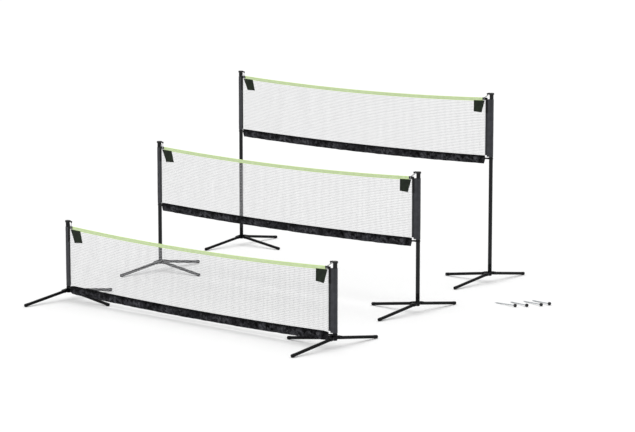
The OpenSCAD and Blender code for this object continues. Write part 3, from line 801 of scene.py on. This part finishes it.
# Outline of cloth round a pole: over the outer side and back to a tip beside it
def wrapOutline(radius, tip, spacing):
    base, spread = math.atan2(tip[1], tip[0]), math.acos(radius / math.hypot(*tip))
    first, last = base + spread, base - spread + 2 * math.pi
    corners = [Vector(tip)]
    arc = int(radius * (last - first) / spacing)
    corners += [Vector((math.cos(a), math.sin(a))) * radius
                for a in (first + (last - first) * k / arc for k in range(arc + 1))]
    outline = []
    for a, b in zip(corners, corners[1:] + corners[:1]):
        steps = max(1, round((b - a).length / spacing))
        outline += [a.lerp(b, k / steps) for k in range(steps)]
    return outline


# Top tape: folded over the head cord, its lower edges sewn together through the net
tape = {
    "step": 0.009,
    "flutter": 0.0011,  # how far it waves out of the plane
    "flutterLength": 0.19,
    "flutterSeed": 3.1,
    "stillEnd": 0.25,  # the waves die out over this length towards a pole
    "seamsAt": (-0.0107, 0.0048),
    "seamLift": 0.00135,  # from its middle plane to the stitches
    "endSeam": (-0.011, 0.007),
    "endInset": 0.004,
    "endLift": 0.00145,
    # Up the front, over the head cord and down the back: depth and height in mm from its middle
    "section": [(-1.1, -13.4), (-1.25, -9), (-1.2, -4), (-1.2, 1), (-1.3, 5.2), (-1.9, 8.2),
                (-2.4, 10.6), (-2.1, 12.6), (-1.1, 13.8), (0, 14.2), (1.1, 13.8), (2.1, 12.6),
                (2.4, 10.6), (1.9, 8.2), (1.3, 5.2), (1.2, 1), (1.2, -4), (1.25, -9),
                (1.1, -13.4), (0, -14)],
}


def tapeWave(net, x):
    near = min(1.0, (net.half - abs(x)) / tape["stillEnd"])
    place = Vector((x / tape["flutterLength"], net.y, tape["flutterSeed"]))
    return tape["flutter"] * near * noise.noise(place)


for net in allNets:
    end, inset = net.half - span["tapeStart"], tape["endInset"]
    count = round(2 * end / tape["step"])
    xs = [-end + 2 * end * i / count for i in range(count + 1)]
    rows = [[net.world(x, net.clothY + tapeWave(net, x) + y / 1000, net.tapeMid(x) + z / 1000)
             for y, z in tape["section"]] for x in xs]
    across = [z / 1000 for y, z in tape["section"]]
    made = skin(net.name + "_tape", rows, [x + end for x in xs], across + across[:1], ends=True)
    finishPiece(made, tapeCloth, net, "green_tape", net.name + "_top_tape")
    for height in tape["seamsAt"]:
        for face in (-1, 1):
            addSeam(net, "lime", [net.world(x, net.clothY + tapeWave(net, x) + face * tape["seamLift"],
                                            net.tapeMid(x) + height) for x in xs])
    for x, middle in ((inset - end, net.tapeMid(inset - end)), (end - inset, net.tapeMid(end))):
        y = net.clothY - tape["endLift"]
        addSeam(net, "lime", [net.world(x, y, middle + z) for z in tape["endSeam"]])
print("top tapes folded")


# Bottom band: a crumpled taffeta sleeve sewn flat along its upper edge
band = {
    "step": 0.0034,
    "rows": 15,
    "seam": 0.0042,  # sewn flat along the top
    "seamFade": 0.012,  # from the seam to its full thickness
    "flatEnd": 0.008,  # flat where the tie is sewn on
    "endFade": 0.05,
    "endLoose": 0.12,  # share of the fullness that is left at the flat end
    "pressed": 0.0011,  # half its thickness where it is sewn
    "fullness": 0.0030,  # half its thickness where it hangs loose
    "thinnest": 0.0007,
    "turnFrom": 0.55,  # share of its height from which the lower edge rounds off
    "turnOver": 0.47,
    "blunt": 0.25,  # least share of the thickness along the lower edge
    "belly": 0.0035,  # how much further its front swells
    "bellyEnd": 1.05,
    "bellyShape": 0.7,  # lower is fuller towards its edges
    "swing": 0.0034,  # broad waves of the whole band
    "swings": 7,  # a metre
    "swingTwist": 0.8,
    "hang": 0.0022,  # waves of the lower edge, up and down
    "hangs": 16,  # a metre
    "hangSeed": 2.2,
    "droopKept": 0.7,  # the lower corners droop this much less
    "crumple": 0.0062,  # small folds of its two faces
    "crumpleIn": 0.3,  # share of a fold that goes inwards
    "backLimit": {"nearPole": 0.0036, "between": 0.0058},  # stays clear of the folding leg behind it
    "poleZone": 0.09,
    "backMap": 2.2,  # the back face's place on the cloth's map, in band heights
    "stitchLift": 0.0003,
    "seed": 4.3,
}
folding = {
    "across": 26, "down": 42,  # folds a metre
    "tall": 0.07,  # of the cloth that the folds run over
    "wander": 3, "wanderAcross": 9, "wanderDown": 20,
    "facesApart": 7.7,  # so that front and back fold differently
    "finer": 2.6, "finerShift": (5.2, 1.3, 0),
    "sharp": {"broad": 2.2, "fine": 2.0},
    "share": {"broad": 0.65, "fine": 0.35},
}


def crumple(x, z, face, seed):  # small sharp folds, from 0 to 1
    wander = noise.noise(Vector((x * folding["wanderAcross"], z * folding["wanderDown"], seed)))
    place = Vector((x * folding["across"] + folding["wander"] * wander, z * folding["down"],
                    seed + face * folding["facesApart"]))
    places = {"broad": place, "fine": place * folding["finer"] + Vector(folding["finerShift"])}
    sharp, share = folding["sharp"], folding["share"]
    return sum(max(0.0, 1 - abs(noise.noise(at)) * sharp[size]) ** 2 * share[size]
               for size, at in places.items())


def bandPoint(net, i, count, j, face, lift=0.0):
    t = j / band["rows"]
    cut = max(0.0, t - span["bandUpright"]) / (1 - span["bandUpright"])
    reach = net.half - span["hem"] - span["bandSlant"] * cut
    x = -reach + 2 * reach * i / count
    seed = band["seed"] + net.y
    corner = max(0.0, 1 - (reach - abs(x)) / span["droopWide"])
    tall = span["bandHeight"] - band["droopKept"] * span["bandDroop"][net.name] * corner ** 2
    nearEnd = min(1.0, max(0.0, reach - abs(x) - band["flatEnd"]) / band["endFade"])
    sewn = min(1.0, max(0.0, (t * span["bandHeight"] - band["seam"]) / band["seamFade"]))
    loose = sewn * (band["endLoose"] + (1 - band["endLoose"]) * nearEnd)
    turned = max(0.0, t - band["turnFrom"]) / band["turnOver"]
    rounded = math.sqrt(max(0.0, 1 - turned ** 2))
    half = band["pressed"] + (band["fullness"] - band["pressed"]) * loose
    if face < 0:
        swell = math.sin(math.pi * min(1.0, t * band["bellyEnd"])) ** band["bellyShape"]
        half += band["belly"] * loose * swell
    fold = band["crumple"] * loose * (crumple(x, t * folding["tall"], face, seed) - band["crumpleIn"])
    place = Vector((x * band["swings"], t * band["swingTwist"], seed))
    wave = band["swing"] * sewn * nearEnd * noise.noise(place)
    y = wave + face * max(band["thinnest"], half + fold) * max(band["blunt"], rounded)
    y = min(y, band["backLimit"]["nearPole" if abs(x) > net.half - band["poleZone"] else "between"])
    hang = band["hang"] * sewn * noise.noise(Vector((x * band["hangs"], band["hangSeed"], seed)))
    return net.world(x, net.clothY + y + face * lift, net.bandTop(x) - t * tall + hang * t)


for net in allNets:
    count = round(2 * (net.half - span["hem"]) / band["step"])
    order = [(j, -1) for j in range(band["rows"], -1, -1)] + [(j, 1) for j in range(band["rows"] + 1)]
    rows = [[bandPoint(net, i, count, j, face) for j, face in order] for i in range(count + 1)]
    down = [span["bandHeight"] * (j / band["rows"] if face < 0 else band["backMap"] + j / band["rows"])
            for j, face in order]
    along = [i * band["step"] for i in range(count + 1)]
    made = skin(net.name + "_band", rows, along, down + down[:1], ends=True)
    finishPiece(made, bandCloth, net, "band_nylon", net.name + "_bottom_band")
    for face in (-1, 1):
        addSeam(net, "black", [bandPoint(net, i, count, 1, face, band["stitchLift"])
                               for i in range(count + 1)])
    print(made.name, "faces:", len(made.data.polygons))


# Sleeves: nylon pockets over the poles, sewn to a flat hem that holds the net
sleeve = {
    "radius": 0.0178,
    "thick": 0.0008,
    "spacing": 0.0026,
    "rise": 0.005,
    "seam": (0.030, -0.0186),  # where the pocket's two layers meet, beside the pole
    "seamFlat": 0.012,  # the folds die out over this length towards the seam
    "ease": 0.0006,
    "creases": 0.0009,
    "deepest": -0.6,  # how far a crease goes in, as a share of that
    "upright": {"around": 95, "up": 5, "share": 0.55},  # folds a metre
    "pulls": {"around": 30, "up": 30, "slant": 14, "share": 0.45},
    "tipWithin": 1.2,  # radii from the axis; further out the outline narrows to the seam
    "crest": {"at": -0.001, "wide": 0.004, "high": 0.0005},  # a pressed ridge down the front
    "lower": 0.012,  # how far the pocket reaches below the hem
    "edgeRows": 2,  # from its ends to the rows of stitches round it
    "unsewn": 6,  # points of such a row left out at the seam
}
hem = {
    "thick": 0.0024,
    "from": 0.0265,  # from the pole axis
    "beyond": 0.0008,  # past the net's edge
    "steps": 40,
    "wave": 0.0002,
    "waves": 40,  # radians a metre
    "seams": (0.0028, 0.0024),  # in from its two edges
    "stitchLift": 0.0001,
    "seamEnds": (0.003, 0.004),
}


def sleeveFold(s, z, seed):  # soft vertical folds with a few slanting pulls
    upright, pulls = sleeve["upright"], sleeve["pulls"]
    straight = noise.noise(Vector((s * upright["around"], z * upright["up"], seed)))
    slant = s * pulls["around"] + z * pulls["slant"]
    slanting = noise.noise(Vector((slant, z * pulls["up"], seed + 4)))
    return upright["share"] * straight + pulls["share"] * slanting


def sleevePoint(outline, lengths, j, z, seed):
    p = outline[j]
    ahead = (outline[(j + 1) % len(outline)] - outline[j - 1]).normalized()
    out = Vector((-ahead.y, ahead.x))
    if out.dot(p) < 0 and p.length < sleeve["radius"] * sleeve["tipWithin"]:
        out = -out
    fromSeam = min(1.0, (p - Vector(sleeve["seam"])).length / sleeve["seamFlat"])
    fold = max(sleeve["deepest"], sleeveFold(lengths[j], z, seed))
    lift = fromSeam * (sleeve["ease"] + sleeve["creases"] * fold)
    if p.y < 0:
        crest = sleeve["crest"]
        lift += crest["high"] * math.exp(-((p.x - crest["at"]) / crest["wide"]) ** 2)
    return p + out * lift


for net, side, name in allPoles:
    low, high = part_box(net.name + "_sleeves")
    foot = low.z - sleeve["lower"]
    floors = round((high.z - foot) / sleeve["rise"])
    outline = wrapOutline(sleeve["radius"], sleeve["seam"], sleeve["spacing"])[::-1]
    lengths = pathLengths(outline)
    around = lengths + [lengths[-1] + sleeve["spacing"]]
    seed = 10 * net.y + side
    rows = []
    for i in range(floors + 1):
        z = foot + (high.z - foot) * i / floors
        row = [sleevePoint(outline, lengths, j, z, seed) for j in range(len(outline))]
        row = [net.atPole(side, p.x, p.y, z) for p in row]
        rows.append(row if side < 0 else row[::-1])
    made = skin(name + "_sleeve", rows, [sleeve["rise"] * i for i in range(floors + 1)], around)
    wall = made.modifiers.new("wall", "SOLIDIFY")
    wall.thickness, wall.offset = sleeve["thick"], -1
    applyModifiers(made)
    finishPiece(made, sleeveCloth, net, "sleeve_fabric", net.name + "_sleeves")
    inner, outer = hem["from"], span["hem"] + hem["beyond"]
    heights = [low.z + (high.z - low.z) * i / hem["steps"] for i in range(hem["steps"] + 1)]
    path = [Vector(net.atPole(side, (inner + outer) / 2,
                              net.clothY + hem["wave"] * math.sin(z * hem["waves"]), z))
            for z in heights]
    made = ribbon(name + "_hem", path, Vector((-side, 0, 0)), outer - inner, hem["thick"])
    finishPiece(made, shadedHemCloth, net, "sleeve_fabric")
    ends = (low.z + hem["seamEnds"][0], high.z - hem["seamEnds"][1])
    for face in (-1, 1):
        y = net.clothY + face * (hem["thick"] / 2 + hem["stitchLift"])
        for x in (inner + hem["seams"][0], span["hem"] - hem["seams"][1]):
            sewAtPole(net, side, "grey", y, [(x, z) for z in ends])
    for i in (sleeve["edgeRows"], floors - sleeve["edgeRows"]):
        addSeam(net, "grey", rows[i][sleeve["unsewn"]:-sleeve["unsewn"]])
print("sleeves sewn")


# Ties: a strap looped round the tube under the sleeve, its ends sewn to the band
tie = {
    "width": 0.0125,
    "thick": 0.0014,
    "gap": 0.0006,  # between the strap and the tube
    "spacing": 0.0026,
    "closes": 0.0325,  # from the pole axis to the loop's tip
    "tail": (0.029, 0.058),  # from the pole axis to the two ends of the doubled tail
    "tailThick": 0.0019,
    "tailSteps": 18,
    "step": {"at": 0.036, "over": 0.010, "forward": 0.0036},  # the tail comes forward on to the band
    "drop": 0.0006,
    "box": 0.048,  # where the sewn rectangle begins
    "boxInset": 0.003,
    "stitchLift": 0.0011,
}
for net, side, name in allPoles:
    width = tie["width"]
    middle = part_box(net.name + "_bottom_ties")[0].z + width / 2
    begin, finish = tie["tail"]
    radius = net.tube + tie["gap"] + tie["thick"] / 2
    outline = wrapOutline(radius, (tie["closes"], net.clothY), tie["spacing"])
    path = [Vector(net.atPole(side, p.x, p.y, middle)) for p in outline]
    loop = ribbon("loop", path, upwards, width, tie["thick"], closed=True)
    strip = []
    for k in range(tie["tailSteps"] + 1):
        x = begin + (finish - begin) * k / tie["tailSteps"]
        climb = min(1.0, max(0.0, (x - tie["step"]["at"]) / tie["step"]["over"]))
        forward = tie["step"]["forward"] * climb
        strip.append(Vector(net.atPole(side, x, net.clothY - forward,
                                       middle - tie["drop"] * k / tie["tailSteps"])))
    tail = ribbon("tail", strip, upwards, width, tie["tailThick"])
    made = joinPieces(name + "_tie", [loop, tail])
    finishPiece(made, strapBlack, net, "black_webbing", net.name + "_bottom_ties")
    y = net.clothY - tie["step"]["forward"] - tie["stitchLift"]
    x, z = finish - tie["boxInset"], width / 2 - tie["boxInset"]
    corners = [(x, z), (tie["box"], z), (tie["box"], -z), (x, -z), (x, z)]
    sewAtPole(net, side, "black", y, [(x, middle + z) for x, z in corners])
print("ties looped")


# Corner straps: webbing down the sleeve's corner, with a tongue that takes the eyelet
strap = {
    "width": 0.022,
    "long": 0.115,
    "thick": 0.0016,
    "steps": 24,
    "wave": 0.0002,
    "seamInset": 0.0026,
    "seamTop": 0.02,  # the seam begins this far down
    "stitchLift": 0.0002,
}
tongue = {
    "hole": 0.0049,  # radius
    "eyeFrom": 0.007,  # from the eyelet's outer edge to its middle, along the net
    "lap": 0.004,  # over the tape's end
    "below": 0.009,  # from the tape's middle line to its lower edge
    "back": 0.0003,  # behind the strap's middle
    "rings": (0.0, 0.12, 0.5, 0.94, 1.0),  # share of the way from the hole to the edge
    "points": 48,
    "proud": 0.00005,
    "rounded": 0.0004,  # taken off its thickness at the hole and at the edge
    "seamInset": 0.0024,
}


def tongueRing(left, right, bottom, top, middle, share):  # from the round hole to the four edges
    ring = []
    for k in range(tongue["points"]):
        a = 2 * math.pi * (k + 0.5) / tongue["points"]
        c, s = math.cos(a), math.sin(a)
        far = min((right - middle if c > 0 else left - middle) / c, (top if s > 0 else bottom) / s)
        r = tongue["hole"] + (far - tongue["hole"]) * share
        ring.append((middle + r * c, r * s))
    return ring


for net, side, name in allPoles:
    low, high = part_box(net.name + "_corner_straps")
    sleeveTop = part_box(net.name + "_sleeves")[1].z
    eyeLow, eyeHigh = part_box(net.name + "_tape_eyelets")
    front = (low.y + high.y) / 2 - net.y
    eyeX, eyeZ = net.half - (eyeHigh.x - eyeLow.x) / 2 + tongue["eyeFrom"], (eyeLow.z + eyeHigh.z) / 2
    left, right = span["hem"] - strap["width"], span["tapeStart"] + tongue["lap"]
    bottom, top = net.top - span["tapeDrop"] - tongue["below"] - eyeZ, high.z - eyeZ
    rings = [tongueRing(left, right, bottom, top, eyeX, share) for share in tongue["rings"]]
    depths = [-strap["thick"] / 2 - tongue["proud"] + (tongue["rounded"] if share in (0.0, 1.0) else 0)
              for share in tongue["rings"]]
    path = [Vector(net.atPole(side, span["hem"] - strap["width"] / 2,
                              front - strap["wave"] * math.sin(k),
                              sleeveTop - strap["long"] * k / strap["steps"]))
            for k in range(strap["steps"] + 1)]
    down = ribbon("down", path, Vector((1, 0, 0)), strap["width"], strap["thick"])
    layers = list(zip(rings, depths))
    layers += [(ring, -depth) for ring, depth in layers[::-1]]
    rows = [[net.atPole(side, x, front - tongue["back"] + depth, eyeZ + z) for x, z in ring]
            for ring, depth in layers + layers[:1]]
    if side > 0:
        rows = [row[::-1] for row in rows]
    flap = skin("tongue", rows, range(len(rows)), range(tongue["points"] + 1))
    layer = flap.data.uv_layers["cloth"].data
    for corner in flap.data.loops:
        p = flap.data.vertices[corner.vertex_index].co
        layer[corner.index].uv = (p.x - net.x, p.z - eyeZ)
    mergeDoubles(flap)
    made = joinPieces(name + "_strap", [down, flap])
    finishPiece(made, strapBlack, net, "black_webbing", net.name + "_corner_straps")
    y = front - strap["thick"] / 2 - strap["stitchLift"]
    x0, x1 = left + strap["seamInset"], span["hem"] - strap["seamInset"]
    z0, z1 = sleeveTop - strap["long"] + strap["seamInset"], sleeveTop - strap["seamTop"]
    sewAtPole(net, side, "black", y, ((x0, z1), (x0, z0), (x1, z0), (x1, z1)))
    inset = tongue["seamInset"]
    sewAtPole(net, side, "black", y - tongue["back"],
              [(right - inset, eyeZ + z) for z in (bottom + inset, top - inset)])
print("corner straps sewn")


# Corner flags: small canvas flags that hang from the tape and curl forward a little
flag = {
    "out": 0.054,  # from the pole axis
    "topWide": 0.112,
    "bottomWide": 0.084,
    "tall": 0.096,
    "lean": 0.026,  # of the left ones, away from the pole
    "thick": 0.0012,
    "rounding": 0.0004,
    "columns": 26,
    "rows": 22,
    "lap": 0.004,  # how far it is sewn over the tape
    "forward": 0.0019,  # in front of the net
    "wave": 0.0011,
    "waves": (3.1, 1.6),  # across and down its size
    "curlShape": 1.7,  # higher keeps the curl to the lower edge
    "even": 0.8,  # share of the curl that is the same along the edge
    "uneven": 0.2,
    "rolls": 2,
    "droop": 0.006,
    "hemInset": 0.045,  # share of its size from an edge to the hem's stitches
    "tapeSeam": 0.05,
    "stitchLift": 0.0008,
    "stitchSteps": 20,
}
curls = {"low": (0.010, 0.9), "mid": (0.006, 0.5), "high": (0.004, 0.25)}  # forward curl, corner droop


def flagPoint(net, side, u, v, lift=0.0):  # u away from the pole, v downwards, both 0 to 1
    lean = flag["lean"] if side < 0 else 0.0
    topX = flag["out"] + flag["topWide"] * u
    lowX = flag["out"] + flag["topWide"] - flag["bottomWide"] * (1 - u) + lean
    x = topX + (lowX - topX) * v
    bottom = net.tapeLow(net.half) - flag["tall"]
    top = net.tapeLow(net.half - x) + flag["lap"]
    curl, droop = curls[net.name]
    rolls, (across, down) = flag["rolls"], flag["waves"]
    roll = (1 - u) * flag["even"] + flag["uneven"] * noise.noise(Vector((u * rolls, v * rolls, net.y)))
    wave = flag["wave"] * v * (1 + noise.noise(Vector((u * across, v * down, side))))
    y = net.clothY - flag["forward"] - curl * v ** flag["curlShape"] * roll - wave
    z = top + (bottom - top) * v - flag["droop"] * droop * v ** 3 * (1 - u) ** 2
    return net.atPole(side, x, y - lift, z)


for net, side, name in allPoles:
    n, m = flag["columns"], flag["rows"]
    rows = [[flagPoint(net, side, i / n, j / m) for i in range(n + 1)] for j in range(m + 1)]
    if side > 0:
        rows = [row[::-1] for row in rows]
    us = [flag["tall"] * j / m for j in range(m + 1)]
    vs = [flag["topWide"] * i / n for i in range(n + 1)]
    made = skin(name + "_flag", rows, us, vs, ring=False)
    layers = made.modifiers.new("layers", "SOLIDIFY")
    layers.thickness, layers.offset = flag["thick"], 0
    rounding = made.modifiers.new("rounding", "BEVEL")
    rounding.width, rounding.segments, rounding.limit_method = flag["rounding"], 2, "ANGLE"
    applyModifiers(made)
    finishPiece(made, flagCloth, net, "flag_fabric", net.name + "_corner_flags")
    inset = flag["hemInset"]
    shares = [k / flag["stitchSteps"] for k in range(1, flag["stitchSteps"])]
    edge = [(inset, v) for v in shares] + [(u, 1 - inset) for u in shares]
    edge += [(1 - inset, 1 - v) for v in shares]
    for line in (edge, [(u, flag["tapeSeam"]) for u in shares]):
        addSeam(net, "grey", [flagPoint(net, side, u, v, flag["stitchLift"]) for u, v in line])
print("flags hung")


# All the stitching of one net and one thread as one piece
threads = {"lime": (threadLime, "green_tape"), "grey": (threadGrey, "sleeve_fabric"),
           "black": (threadBlack, "black_webbing")}
for net in allNets:
    for thread, (material, slot) in threads.items():
        points, edges = [], []
        for line in seams[net.name][thread]:
            edges += [(len(points) + i, len(points) + i + 1) for i in range(len(line) - 1)]
            points += line
        base = addPiece("seams", points, [], edges=edges)
        made = growNodes(base, stitchRow, f"{net.name}_{thread}_stitches", {
            "Long": stitching["long"], "Gap": stitching["gap"], "Thick": stitching["thick"],
            "Material": material})
        finishPiece(made, material, net, slot)
        print(made.name, "faces:", len(made.data.polygons))


# Finishes of the parts that keep their own shape
finishes = {
    "foot_hubs": shadedLegPaint, "_leg": shadedLegPaint, "_tubes": litPolePaint, "_poles": litPolePaint,
    "foot_plugs": plastic, "_pole_caps": plastic, "peg_heads": plastic,
    "pivot_bolts": boltFinish, "pivot_nuts": boltFinish,
    "_tape_eyelets": eyeletMetal, "peg_rods": pegSteel,
}
for name, node in nodes.items():
    for ending, material in finishes.items():
        if name.endswith(ending):
            useMaterial(node, material)
            for part in node.data.polygons:
                part.material_index = 0
